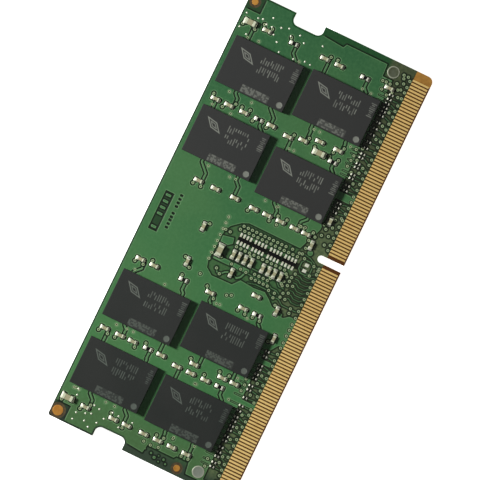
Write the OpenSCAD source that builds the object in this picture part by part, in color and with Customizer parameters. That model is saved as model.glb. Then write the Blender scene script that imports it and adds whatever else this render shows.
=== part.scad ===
// Laptop memory module: a thin eight-layer circuit board with a contact edge and
// sixteen memory packages, eight on each face. It lies flat on its back packages.
// Frame: +X along the contact edge, +Y from the contact edge to the top edge, +Z up.

/* [Board] */
// Board length along the contact edge
board_l = 69.6; // [69.6:0.1:72]
// Board width from the contact edge to the top edge
board_w = 30; // [30:0.1:32]
// Corner radius at the ends of the contact edge
contact_corner_r = 0.9; // [0.4:0.1:1.2]
// Corner radius at the top edge
top_corner_r = 0.4; // [0.2:0.1:0.8]
// Height of the latch notches' centres above the contact edge
latch_y = 20.25; // [20:0.05:20.5]
// Height of a latch notch along the end of the board
latch_h = 4.8; // [4:0.1:5]
// Depth of a latch notch into the board
latch_d = 1.75; // [1.4:0.05:1.9]
// Radius of a latch notch's inner corners
latch_r = 0.9; // [0.4:0.1:1.2]
// Key slot's distance from the board's centre line
key_x = 3.5; // [3.4:0.1:3.6]
// Width of the key slot
key_w = 1.1; // [0.9:0.1:1.2]
// Depth of the key slot from the contact edge to the top of its round end
key_h = 4.05; // [3.6:0.05:4.2]

/* [Board layers] */
// Thickness of the solder mask over bare laminate
mask_t = 0.06; // [0.05:0.01:0.08]
// Thickness of the outer copper and of the contacts
outer_copper_t = 0.04; // [0.03:0.01:0.04]
// Thickness of each inner copper layer
inner_copper_t = 0.03; // [0.02:0.01:0.04]
// Thickness of the outermost glass-cloth sheet
prepreg_t = 0.13; // [0.1:0.01:0.15]
// Thickness of the outer core, with the signal layer in its face
core_t = 0.13; // [0.1:0.01:0.15]
// Thickness of the glass-cloth sheet next to the middle core
mid_prepreg_t = 0.18; // [0.12:0.01:0.2]
// Thickness of the middle core
mid_core_t = 0.2; // [0.1:0.01:0.3]
// How far every copper layer stays inside the board's edge
copper_inset = 0.4; // [0.3:0.05:0.6]

/* [Contacts] */
// Contact pitch
contact_pitch = 0.5; // [0.5:0.01:0.5]
// Contact width
contact_w = 0.3; // [0.2:0.01:0.4]
// Contact length
contact_l = 2.6; // [2.2:0.1:2.6]
// Gap between the contacts and the board's edge
contact_gap = 0.2; // [0.1:0.05:0.3]
// Height of the band without solder mask
contact_band = 2.8; // [2.8:0.05:3.2]
// Number of contacts on the long side of the key slot
long_side_count = 72; // [60:1:72]
// Number of contacts on the short side of the key slot
short_side_count = 58; // [50:1:58]
// Distance between the two contacts next to the key slot
key_gap = 2.5; // [2.5:0.1:3]

/* [Memory packages] */
// Package width, along the contact edge
package_w = 7.5; // [7.5:0.1:8]
// Package length, across the board
package_l = 11; // [10.6:0.1:11]
// Height of the solder balls between the mask and the package
standoff = 0.3; // [0.25:0.01:0.35]
// Thickness of the package's own small circuit board
substrate_t = 0.15; // [0.13:0.01:0.2]
// Thickness of the moulded cap
mould_t = 0.67; // [0.6:0.01:0.75]
// Silicon chip's width and length
die_size = [6.1, 8.8]; // [5:0.1:7]
// Silicon chip's thickness
die_t = 0.25; // [0.15:0.01:0.3]
// Thickness of the adhesive film under the silicon
film_t = 0.03; // [0.02:0.01:0.04]
// Solder ball pitch
ball_pitch = 0.8; // [0.8:0.01:0.8]
// Solder ball diameter
ball_d = 0.46; // [0.4:0.01:0.5]
// Rows of solder balls along the package
ball_rows = 13; // [9:1:13]
// Width and length of the wire window in the package's small circuit board
window = [1, 9.2]; // [0.8:0.1:1.2]
// Bond wires on each side of the window
wires_per_side = 2; // [2:1:8]
// Bond wire diameter
wire_d = 0.03; // [0.02:0.01:0.05]

/* [Small parts] */
// Small capacitor's length, width and height
small_cap = [1, 0.5, 0.5]; // [0.4:0.05:1.2]
// Large capacitor's length, width and height
large_cap = [1.6, 0.85, 0.8]; // [0.6:0.05:1.8]
// Resistor's length, width and height
resistor = [1, 0.5, 0.35]; // [0.3:0.05:1.2]
// Series resistor's length, width and height
series_resistor = [0.6, 0.3, 0.23]; // [0.2:0.01:0.7]
// Length of the metal end of a capacitor or a resistor, as a share of the part's length
end_share = 0.25; // [0.15:0.01:0.3]
// How far a metal end stands proud of the body
end_lip = 0.02; // [0.01:0.01:0.04]
// Resistor array's width across its leads, length along them, and height
array = [1, 2.1, 0.4]; // [0.3:0.05:2.2]
// Pitch of the leads of a resistor array
array_pitch = 0.54; // [0.5:0.01:0.54]
// Width of one lead of a resistor array
array_lead_w = 0.3; // [0.2:0.01:0.35]
// Settings memory's width, length and height
eeprom = [3, 2, 0.55]; // [0.5:0.05:3]

/* [Hidden] */
$fn = 48;
eps = 0.01;
half_w = board_w / 2;

// Sheets are stacked outwards from the board's middle plane, the same on both faces.
mid_prepreg_z = mid_core_t / 2;
core_z = mid_prepreg_z + mid_prepreg_t;
prepreg_z = core_z + core_t;
outer_z = prepreg_z + prepreg_t;
face_z = outer_z + mask_t;
pad_z = outer_z + outer_copper_t;
substrate_z = face_z + standoff;
mould_z = substrate_z + substrate_t;
film_z = mould_z;
die_z = film_z + film_t;
// The module rests on the outer faces of its back packages.
middle_z = mould_z + mould_t;

// Package centres, the upper row and then the lower row
packages = [
    [-25.2, 8.7], [-14.1, 8.7], [12.9, 8.7], [24.2, 8.7],
    [-25.5, -3.7], [-13.4, -3.7], [11.9, -3.7], [24.6, -3.7]
];
// Small capacitors that stand across the board
upright_caps = [
    [-31.4, 10.4], [-31.2, 5.9], [-31.2, 3.7], [-31.2, 0.9], [-31.2, -1.4], [-31.2, -3.7],
    [-31.2, -6.1], [-19.6, 12.9], [-19.6, 10.4], [-19.6, 8.3], [-19.6, 3.6], [-20.1, 0.8],
    [-20.1, -1.5], [-20.1, -3.9], [-18.7, -1.4], [-18.7, -6], [-18.7, -8], [-8.1, 12.6],
    [-8.1, 10.3], [-8.1, 1.1], [-8.1, -4.3], [6.1, 9.9], [6.1, 7.1], [6.1, 3.9],
    [5.9, 0.7], [5.9, -1.5], [5.9, -3.7], [5.9, -6], [5.9, -7.9], [18.1, 12.9],
    [18.1, 10.7], [18.1, 8.2], [18.1, 3.7], [17.7, 0.8], [18.2, -1.5], [19.1, -3.8],
    [19.1, -6.8], [30.5, 10.4], [30.5, 0.9], [30.5, -1.5]
];
// Small upright capacitors that only the front face has
front_upright_caps = [[-5.6, -5.3], [30.7, -9.6]];
// Small capacitors that lie along the board, front face only
flat_caps = [
    [-5.4, 6.2], [0.3, 6.3], [-4.1, -0.4], [-6.3, -8.9], [-10.2, -10.3], [4.7, -9.3],
    [9.1, -10.3], [-1.5, 0.5], [-1.5, -0.4], [-1.5, -1.4], [-1.5, -2.4], [-1.5, -4.3],
    [-1.5, -5.3], [-1.5, -6.2], [-1.5, -7.2]
];
// Large capacitors, upright and flat
large_upright_caps = [[-31.2, 13.4], [30.5, 13.2], [17.5, -4.4]];
large_flat_caps = [[-1.8, 2.6]];
// Calibration resistors, one for each memory package of a face
resistors = [
    [-19.6, 5.8], [-8.1, 5.5], [18.1, 5.8], [30.5, 6],
    [-20.1, -6.2], [-8.1, -6.6], [17.2, -6.8], [30.5, -5.7]
];
// Series resistors stand in one row above the contacts, in two groups
series_y = -10.3;
series_x = [
    -31.2, -30.5, -29.5, -28.8, -28, -26.9, -26.2, -25.2, -24.5, -23.7, -23, -22, -21.2, -19.9,
    -18.6, -17.9, -16.7, -16, -15.2, -14.6, -13.1, -12.3,
    10.6, 11.4, 12.1, 14.2, 15, 16.2, 16.8, 18, 18.6, 19.6, 20.2, 21.2, 22.2, 23.4, 24.4, 25.4,
    26.5, 27.2, 27.8, 28.5, 29.2, 29.9
];
series_resistors = [for (x = series_x) [x, series_y]];
// Two tinned lands in the middle of the front face, for a part that is not fitted
unfitted_part = [1.3, -10];
// Resistor arrays, front face only
arrays = [[1, -0.1], [1, -2.5], [1, -5], [1, -7.4]];
// Settings memory on the back face
eeprom_at = [-1.8, 5];
// Bare copper sighting marks and their radii, front face
copper_marks = [[-33.6, 13.9, 0.8], [33.6, 13.9, 0.5], [-33.7, -5.7, 0.5]];
// Width of bare laminate round a sighting mark
mark_clearance = 0.4;
// Tinned test discs and their radii, front face
tinned_discs = [[-32.8, -8.8, 0.95], [33.1, -9.1, 0.95]];
// Rectangles without copper, as low corner and size
bare_areas = [
    [[-35, 12.5], [3, 3]], [[32, 12.5], [3, 3]], [[-35, -8], [1.9, 11]],
    [[32.8, -1], [2, 4]], [[-4.9, -10.5], [8.5, 13.7]]
];
// Plated holes: rows along the contact edge and single ones near the ends
via_r = 0.15;
antipad_r = 0.3;
vias = concat(
    [for (x = [-32 : 3 : 1]) [x, -11.9]],
    [for (x = [6 : 3 : 33]) [x, -11.9]],
    [for (x = [-3.6 : 0.9 : 3.6]) [x, 3.7]],
    [for (y = [-5 : 1.4 : 0.6]) [3, y]],
    [[-33.8, 11.4], [-33.4, 9.7], [-32.8, 7.9], [32.6, 10.4], [31.8, 8.7], [32.1, 7.6], [32, 5.7]]
);

// ---- Placing a face ----

// The front face looks up. Its children are drawn outwards from the middle plane.
module on_front() {
    translate([0, 0, middle_z]) children();
}

module on_back() {
    translate([0, 0, middle_z]) mirror([0, 0, 1]) children();
}

module at(places) {
    for (p = places) translate([p[0], p[1], 0]) children();
}

// Turns what runs along Y so that it runs along X
module turned() {
    rotate([0, 0, 90]) children();
}

// A box centred on the Z axis that starts at height z
module slab(size, z = 0) {
    translate([-size[0] / 2, -size[1] / 2, z]) cube(size);
}

// ---- Board outline ----

// The waste outside one round corner of radius r, for a corner at the origin
module corner_waste(r) {
    difference() {
        translate([-r, -r]) square([r + 1, r + 1]);
        translate([-r, -r]) circle(r);
    }
}

// A latch notch that opens towards +X from the board's end
module latch_notch(inset) {
    d = latch_d + inset;
    h = latch_h / 2 + inset;
    r = latch_r + inset;
    union() {
        translate([-d + r, -h]) square([d - r + 1, 2 * h]);
        translate([-d, -h + r]) square([r + eps, 2 * (h - r)]);
        for (side = [-1, 1]) translate([-d + r, side * (h - r)]) circle(r);
    }
}

// The round-ended slot that keys the module in its socket
module key_slot(inset) {
    w = key_w + 2 * inset;
    top = key_h + inset - w / 2;
    union() {
        translate([-w / 2, -1]) square([w, top + 1]);
        translate([0, top]) circle(w / 2);
    }
}

module board_outline(inset = 0) {
    l = board_l - 2 * inset;
    w = board_w - 2 * inset;
    difference() {
        translate([-l / 2, -w / 2]) square([l, w]);
        for (end = [0, 1]) mirror([end, 0]) {
            translate([board_l / 2, latch_y - half_w]) latch_notch(inset);
            translate([l / 2, w / 2]) corner_waste(top_corner_r);
            translate([l / 2, -w / 2]) mirror([0, 1]) corner_waste(contact_corner_r);
        }
        translate([key_x, -half_w]) key_slot(inset);
    }
}

module via_holes(r) {
    for (v = vias) translate(v) circle(r);
}

// ---- Sheets of the board, from the middle plane outwards ----

// An inner copper layer; signal and power layers keep clear of the plated holes
module inner_copper(z, clear_r, t = inner_copper_t) {
    translate([0, 0, z]) linear_extrude(t) difference() {
        board_outline(copper_inset);
        via_holes(clear_r);
    }
}

// A laminate sheet with one copper layer pressed into its inner face
module laminate(z, t, copper_clear_r) {
    difference() {
        translate([0, 0, z]) linear_extrude(t) difference() {
            board_outline();
            via_holes(via_r);
        }
        inner_copper(z - eps, copper_clear_r, inner_copper_t + eps);
    }
}

module middle_core() {
    color("darkkhaki") on_front() translate([0, 0, -mid_core_t / 2])
        linear_extrude(mid_core_t) difference() {
            board_outline();
            via_holes(via_r);
        }
}

module inner_prepreg() { laminate(mid_prepreg_z, mid_prepreg_t, antipad_r); }
module core() { laminate(core_z, core_t, antipad_r); }
module prepreg() { laminate(prepreg_z, prepreg_t, via_r); }
module power_plane() { inner_copper(mid_prepreg_z, antipad_r); }
module signal_plane() { inner_copper(core_z, antipad_r); }
module ground_plane() { inner_copper(prepreg_z, via_r); }

// ---- Outer copper, contacts and solder mask ----

// The two solder lands of a part of length l and width w, standing along Y
module lands(l, w, grow = 0) {
    for (side = [-1, 1])
        translate([-w / 2 - grow, side * (l / 2 - 0.05) - 0.25 - grow])
            square([w + 2 * grow, 0.5 + 2 * grow]);
}

// The area around a part where the copper pour stops
module land_clearance(l, w) {
    translate([-w / 2 - 0.2, -l / 2 - 0.4]) square([w + 0.4, l + 0.8]);
}

module series_lands() {
    for (side = [-1, 1]) translate([0, side * 0.25])
        square([0.32, 0.3], center = true);
}

// One mask window over both lands of a series resistor
module series_window() {
    square([0.42, 0.9], center = true);
}

module small_lands(front, grow = 0) {
    w = small_cap[1] + 0.1;
    l = small_cap[0];
    at(concat(upright_caps, resistors)) lands(l, w, grow);
    at(large_upright_caps) lands(large_cap[0], large_cap[1], grow);
    at(series_resistors) if (grow == 0) series_lands();
    at(series_resistors) if (grow > 0) series_window();
    if (front) {
        at([unfitted_part]) turned() lands(l, w, grow);
        at(front_upright_caps) lands(l, w, grow);
        at(flat_caps) turned() lands(l, w, grow);
        at(large_flat_caps) turned() lands(large_cap[0], large_cap[1], grow);
        at(arrays) array_lands(grow);
    } else {
        translate(eeprom_at) eeprom_lands(grow);
    }
}

module array_lands(grow = 0) {
    for (side = [-1, 1]) for (i = [-1.5 : 1.5])
        translate([side * 0.6 - 0.3 - grow, i * array_pitch - array_lead_w / 2 - grow])
            square([0.6 + 2 * grow, array_lead_w + 2 * grow]);
}

module eeprom_lands(grow = 0) {
    for (side = [-1, 1]) for (i = [-1.5 : 1.5])
        translate([i * 0.6 - 0.15 - grow, side * 0.95 - 0.2 - grow])
            square([0.3 + 2 * grow, 0.4 + 2 * grow]);
}

// Radius of a ball's land
land_r = 0.18;
// Solder ball places of one package: three columns on each side of its window
ball_columns = [-3.2, -2.4, -1.6, 1.6, 2.4, 3.2];
ball_places = [
    for (x = ball_columns) for (i = [0 : ball_rows - 1])
        [x, (i - (ball_rows - 1) / 2) * ball_pitch]
];

// The two mask windows over a package's ball lands
module ball_windows(grow = 0) {
    span = [2.3 + 2 * grow, (ball_rows - 1) * ball_pitch + 0.7 + 2 * grow];
    for (side = [-1, 1]) translate([side * 2.4, 0]) square(span, center = true);
}

module contact_strip(count, first_x) {
    for (i = [0 : count - 1])
        translate([first_x + i * contact_pitch - contact_w / 2, -half_w + contact_gap])
            square([contact_w, contact_l]);
}

module contacts() {
    inner_x = key_gap / 2;
    last_long = key_x - inner_x;
    translate([0, 0, outer_z]) linear_extrude(outer_copper_t) {
        contact_strip(long_side_count, last_long - (long_side_count - 1) * contact_pitch);
        contact_strip(short_side_count, key_x + inner_x);
    }
}

// The copper pour, with every part's lands standing apart from it
module pour(front) {
    difference() {
        board_outline(copper_inset);
        translate([-board_l, -half_w - 1]) square([2 * board_l, contact_band + 3.3]);
        via_holes(via_r);
        at(packages) ball_windows(0.1);
        at(concat(upright_caps, resistors)) land_clearance(small_cap[0], small_cap[1]);
        at(large_upright_caps) land_clearance(large_cap[0], large_cap[1]);
        if (front) {
            at(front_upright_caps) land_clearance(small_cap[0], small_cap[1]);
            at(concat(flat_caps, [unfitted_part])) turned()
                land_clearance(small_cap[0], small_cap[1]);
            at(large_flat_caps) turned() land_clearance(large_cap[0], large_cap[1]);
            for (area = bare_areas) translate(area[0]) square(area[1]);
            for (disc = tinned_discs) translate([disc[0], disc[1]]) circle(disc[2] + 0.2);
        } else {
            translate(eeprom_at) square([3.4, 2.8], center = true);
        }
    }
}

module outer_copper(front) {
    translate([0, 0, outer_z]) linear_extrude(outer_copper_t) {
        pour(front);
        small_lands(front);
    }
}

module solder_mask(front) {
    difference() {
        translate([0, 0, outer_z]) linear_extrude(mask_t) difference() {
            board_outline();
            translate([-board_l, -half_w - 1]) square([2 * board_l, contact_band + 1]);
            small_lands(front, 0.05);
            at(packages) ball_windows();
            if (front) {
                for (mark = copper_marks) translate([mark[0], mark[1]]) circle(mark[2] + mark_clearance);
                for (disc = tinned_discs) translate([disc[0], disc[1]]) circle(disc[2]);
            }
        }
        translate([0, 0, outer_z - eps]) linear_extrude(outer_copper_t + eps) pour(front);
        translate([0, 0, outer_z - eps]) linear_extrude(outer_copper_t + eps) via_holes(via_r);
    }
}

module flat_discs(discs) {
    for (disc = discs) translate([disc[0], disc[1], outer_z])
        cylinder(r = disc[2], h = outer_copper_t);
}

// ---- Memory package ----

module mould_cap() {
    difference() {
        slab([package_w, package_l, mould_t], mould_z);
        slab([die_size[0], die_size[1], die_t + film_t + eps], mould_z - eps);
    }
}

module substrate() {
    difference() {
        slab([package_w, package_l, substrate_t], substrate_z);
        slab([window[0], window[1], substrate_t + 2 * eps], substrate_z - eps);
    }
}

module die_film() {
    difference() {
        slab([die_size[0], die_size[1], film_t], film_z);
        slab([window[0], die_size[1] + 1, film_t + 2 * eps], film_z - eps);
    }
}

module silicon() {
    slab([die_size[0], die_size[1], die_t], die_z);
}

// A bond wire runs from the silicon through the window to a finger beside it
wire_reach = [0.2, 0.7];
wire_low_z = substrate_z - 0.08;
module bond_wire() {
    half = wire_d / 2;
    rotate([90, 0, 0]) translate([0, 0, -half]) linear_extrude(wire_d) polygon([
        [wire_reach[0] - half, die_z], [wire_reach[0] - half, wire_low_z],
        [wire_reach[1] + half, wire_low_z], [wire_reach[1] + half, substrate_z],
        [wire_reach[1] - half, substrate_z], [wire_reach[1] - half, wire_low_z + wire_d],
        [wire_reach[0] + half, wire_low_z + wire_d], [wire_reach[0] + half, die_z]
    ]);
}

module package_wires() {
    pitch = (window[1] - 1.2) / (wires_per_side - 1);
    for (turn = [0, 180]) rotate([0, 0, turn]) for (i = [0 : wires_per_side - 1])
        translate([0, (i - (wires_per_side - 1) / 2) * pitch, 0]) bond_wire();
}

// Resin fills the window up to the silicon and covers the wires below it
module window_resin() {
    difference() {
        union() {
            slab([window[0], window[1] - 0.4, substrate_t + film_t], substrate_z);
            slab([window[0], window[1], substrate_t], substrate_z);
            slab([1.8, window[1] + 0.4, 0.14], substrate_z - 0.14);
        }
        package_wires();
    }
}

// A soldered ball with its land: flat on both ends and widest halfway between them
module balls() {
    h = substrate_z - outer_z;
    at(packages) at(ball_places) translate([0, 0, outer_z]) rotate_extrude()
        polygon([[0, 0], [land_r, 0], [ball_d / 2, h / 2], [land_r, h], [0, h]]);
}

// ---- Small parts ----

// The body of a two-ended part that stands along Y
module part_body(size) {
    lip = 2 * end_lip;
    slab([size[1] - lip, size[0] * (1 - 2 * end_share), size[2] - lip], pad_z + end_lip);
}

module part_ends(size) {
    for (side = [-1, 1]) translate([0, side * size[0] * (1 - end_share) / 2, 0])
        slab([size[1], size[0] * end_share, size[2]], pad_z);
}

module capacitor_bodies(front) {
    at(upright_caps) part_body(small_cap);
    at(large_upright_caps) part_body(large_cap);
    if (front) {
        at(front_upright_caps) part_body(small_cap);
        at(flat_caps) turned() part_body(small_cap);
        at(large_flat_caps) turned() part_body(large_cap);
    }
}

module capacitor_ends(front) {
    at(upright_caps) part_ends(small_cap);
    at(large_upright_caps) part_ends(large_cap);
    if (front) {
        at(front_upright_caps) part_ends(small_cap);
        at(flat_caps) turned() part_ends(small_cap);
        at(large_flat_caps) turned() part_ends(large_cap);
    }
}

module resistor_bodies() {
    at(resistors) part_body(resistor);
    at(series_resistors) part_body(series_resistor);
}

module resistor_ends() {
    at(resistors) part_ends(resistor);
    at(series_resistors) part_ends(series_resistor);
}

// Each lead wraps round the edge of the array's body, so the body has a notch there
array_lead = [0.22, 0.02];
module array_lead_boxes(grow = 0) {
    for (side = [-1, 1]) for (i = [-1.5 : 1.5])
        translate([side * (array[0] - array_lead[0]) / 2, i * array_pitch, 0])
            slab([array_lead[0] + 2 * grow, array_lead_w, array[2]], pad_z);
}

module array_body() {
    difference() {
        slab([array[0], array[1], array[2] - 2 * array_lead[1]], pad_z + array_lead[1]);
        array_lead_boxes(eps);
    }
}

module eeprom_boxes() {
    for (side = [-1, 1]) for (i = [-1.5 : 1.5]) translate([i * 0.6, side * 0.9, 0])
        slab([0.3, 0.3, 0.15], pad_z);
}

// ---- Nodes ----

mask_green = "#3f7a4d";
copper_colour = "#b8703a";
laminate_colour = "#a8935a";
tin = "#c9c9c4";

module memory_chip(front, i) {
    color("#3a3b3d") translate(packages[i - 1])
        if (front) on_front() mould_cap();
        else on_back() mould_cap();
}

module solder_mask_front() { color(mask_green) on_front() solder_mask(true); }
module solder_mask_back() { color(mask_green) on_back() solder_mask(false); }
module copper_front() { color(copper_colour) on_front() outer_copper(true); }
module copper_back() { color(copper_colour) on_back() outer_copper(false); }
module prepreg_front() { color(laminate_colour) on_front() prepreg(); }
module prepreg_back() { color(laminate_colour) on_back() prepreg(); }
module ground_plane_front() { color(copper_colour) on_front() ground_plane(); }
module ground_plane_back() { color(copper_colour) on_back() ground_plane(); }
module core_front() { color(laminate_colour) on_front() core(); }
module core_back() { color(laminate_colour) on_back() core(); }
module signal_plane_front() { color(copper_colour) on_front() signal_plane(); }
module signal_plane_back() { color(copper_colour) on_back() signal_plane(); }
module inner_prepreg_front() { color(laminate_colour) on_front() inner_prepreg(); }
module inner_prepreg_back() { color(laminate_colour) on_back() inner_prepreg(); }
module power_plane_front() { color(copper_colour) on_front() power_plane(); }
module power_plane_back() { color(copper_colour) on_back() power_plane(); }
module contacts_front() { color("gold") on_front() contacts(); }
module contacts_back() { color("gold") on_back() contacts(); }
module via_barrels() {
    color(copper_colour) translate([0, 0, middle_z]) at(vias)
        translate([0, 0, -pad_z]) cylinder(r = via_r, h = 2 * pad_z);
}
module package_substrates_front() { color("#4d6b3c") on_front() at(packages) substrate(); }
module package_substrates_back() { color("#4d6b3c") on_back() at(packages) substrate(); }
module silicon_dies_front() { color("#707884") on_front() at(packages) silicon(); }
module silicon_dies_back() { color("#707884") on_back() at(packages) silicon(); }
module die_films() {
    color("#d8c27a") on_front() at(packages) die_film();
    color("#d8c27a") on_back() at(packages) die_film();
}
module bond_resin() {
    color("#222222") on_front() at(packages) window_resin();
    color("#222222") on_back() at(packages) window_resin();
}
module bond_wires() {
    color("gold") on_front() at(packages) package_wires();
    color("gold") on_back() at(packages) package_wires();
}
module solder_balls_front() { color(tin) on_front() balls(); }
module solder_balls_back() { color(tin) on_back() balls(); }
module capacitor_bodies_front() { color("#a09878") on_front() capacitor_bodies(true); }
module capacitor_bodies_back() { color("#a09878") on_back() capacitor_bodies(false); }
module capacitor_ends_front() { color(tin) on_front() capacitor_ends(true); }
module capacitor_ends_back() { color(tin) on_back() capacitor_ends(false); }
module resistor_bodies_front() { color("#1c1c1e") on_front() resistor_bodies(); }
module resistor_bodies_back() { color("#1c1c1e") on_back() resistor_bodies(); }
module resistor_ends_front() { color(tin) on_front() resistor_ends(); }
module resistor_ends_back() { color(tin) on_back() resistor_ends(); }
module array_bodies() { color("#1c1c1e") on_front() at(arrays) array_body(); }
module array_leads() { color(tin) on_front() at(arrays) array_lead_boxes(); }
module eeprom_body() {
    color("#2a2a2c") on_back() translate(eeprom_at) difference() {
        slab(eeprom, pad_z);
        eeprom_boxes();
    }
}
module eeprom_leads() { color(tin) on_back() translate(eeprom_at) eeprom_boxes(); }
module copper_marks() { color("#c98a4a") on_front() flat_discs(copper_marks); }
module tinned_discs() { color(tin) on_front() flat_discs(tinned_discs); }

solder_mask_front();
copper_front();
prepreg_front();
ground_plane_front();
core_front();
signal_plane_front();
inner_prepreg_front();
power_plane_front();
middle_core();
power_plane_back();
inner_prepreg_back();
signal_plane_back();
core_back();
ground_plane_back();
prepreg_back();
copper_back();
solder_mask_back();
contacts_front();
contacts_back();
via_barrels();
for (i = [1 : 8]) memory_chip(true, i);
for (i = [1 : 8]) memory_chip(false, i);
package_substrates_front();
package_substrates_back();
silicon_dies_front();
silicon_dies_back();
die_films();
bond_resin();
bond_wires();
solder_balls_front();
solder_balls_back();
capacitor_bodies_front();
capacitor_ends_front();
capacitor_bodies_back();
capacitor_ends_back();
resistor_bodies_front();
resistor_ends_front();
resistor_bodies_back();
resistor_ends_back();
array_bodies();
array_leads();
eeprom_body();
eeprom_leads();
copper_marks();
tinned_discs();
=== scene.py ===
import math

import bmesh
import bpy
import numpy as np
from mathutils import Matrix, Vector


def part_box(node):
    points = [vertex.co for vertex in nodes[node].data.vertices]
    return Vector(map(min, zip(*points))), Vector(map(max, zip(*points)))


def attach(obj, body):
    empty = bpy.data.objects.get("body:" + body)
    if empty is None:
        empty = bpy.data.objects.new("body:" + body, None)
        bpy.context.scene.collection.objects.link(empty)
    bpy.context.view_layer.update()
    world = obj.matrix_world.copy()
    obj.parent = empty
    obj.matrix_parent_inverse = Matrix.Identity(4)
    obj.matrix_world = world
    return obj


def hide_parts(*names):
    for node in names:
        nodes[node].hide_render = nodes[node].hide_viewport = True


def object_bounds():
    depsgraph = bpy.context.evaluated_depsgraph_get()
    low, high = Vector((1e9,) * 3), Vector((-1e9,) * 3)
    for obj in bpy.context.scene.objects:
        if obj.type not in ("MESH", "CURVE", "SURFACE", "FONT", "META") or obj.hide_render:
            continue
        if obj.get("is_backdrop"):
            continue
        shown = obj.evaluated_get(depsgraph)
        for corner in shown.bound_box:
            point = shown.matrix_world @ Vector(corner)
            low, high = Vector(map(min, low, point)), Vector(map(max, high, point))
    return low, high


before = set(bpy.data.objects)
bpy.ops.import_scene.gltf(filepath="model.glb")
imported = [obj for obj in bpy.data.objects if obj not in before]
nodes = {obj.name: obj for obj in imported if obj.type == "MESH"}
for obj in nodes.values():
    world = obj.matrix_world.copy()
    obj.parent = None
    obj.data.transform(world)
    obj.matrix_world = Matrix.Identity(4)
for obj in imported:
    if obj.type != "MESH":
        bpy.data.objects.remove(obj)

cad_low, cad_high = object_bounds()
MM = 0.001


# ---------------------------------------------------------------- the board
# The board is a sandwich of glass cloth and epoxy, eight copper layers and a green
# solder mask on both faces. Sheets are pressed together, and the outline is routed.

def heights(node):
    """Lowest and highest level of a CAD node in millimetres above the resting plane."""
    low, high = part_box(node)
    return low.z / MM, high.z / MM


middle = sum(heights("middle_core")) / 2
laminate_top = heights("prepreg_front")[1] - middle
mask_top = heights("solder_mask_front")[1] - middle
board_low, board_high = (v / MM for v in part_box("middle_core"))
mask_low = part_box("solder_mask_front")[0] / MM


def outward(side, z):
    """Height above the resting plane of a level z outwards from the board's middle."""
    return middle + side * z


def add_attribute(mesh, name, values):
    """One number for each vertex, for a material to read."""
    mesh.attributes.new(name, "FLOAT", "POINT").data.foreach_set("value", values)


def make_piece(name, points, faces, side, material, smooth=True, **attributes):
    """A closed mesh from points in millimetres, x, y and height outwards from the
    board's middle plane. On the back face the height is turned over. Faces with more than
    four corners are flat caps, and the rest are shaded as one smooth surface."""
    merge_within = 1e-7
    points = np.asarray(points, float).copy()
    points[:, 2] = outward(side, points[:, 2])
    mesh = bpy.data.meshes.new(name)
    mesh.from_pydata((points * MM).tolist(), [], [list(f) for f in faces])
    for label, values in attributes.items():
        add_attribute(mesh, label, values)
    shape = bmesh.new()
    shape.from_mesh(mesh)
    bmesh.ops.remove_doubles(shape, verts=shape.verts, dist=merge_within)
    bmesh.ops.recalc_face_normals(shape, faces=shape.faces)
    shape.to_mesh(mesh)
    shape.free()
    corners = np.empty(len(mesh.polygons), int)
    mesh.polygons.foreach_get("loop_total", corners)
    mesh.polygons.foreach_set("use_smooth", (corners <= 4) & smooth)
    mesh.materials.append(material)
    piece = bpy.data.objects.new(name, mesh)
    bpy.context.scene.collection.objects.link(piece)
    return piece


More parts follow.
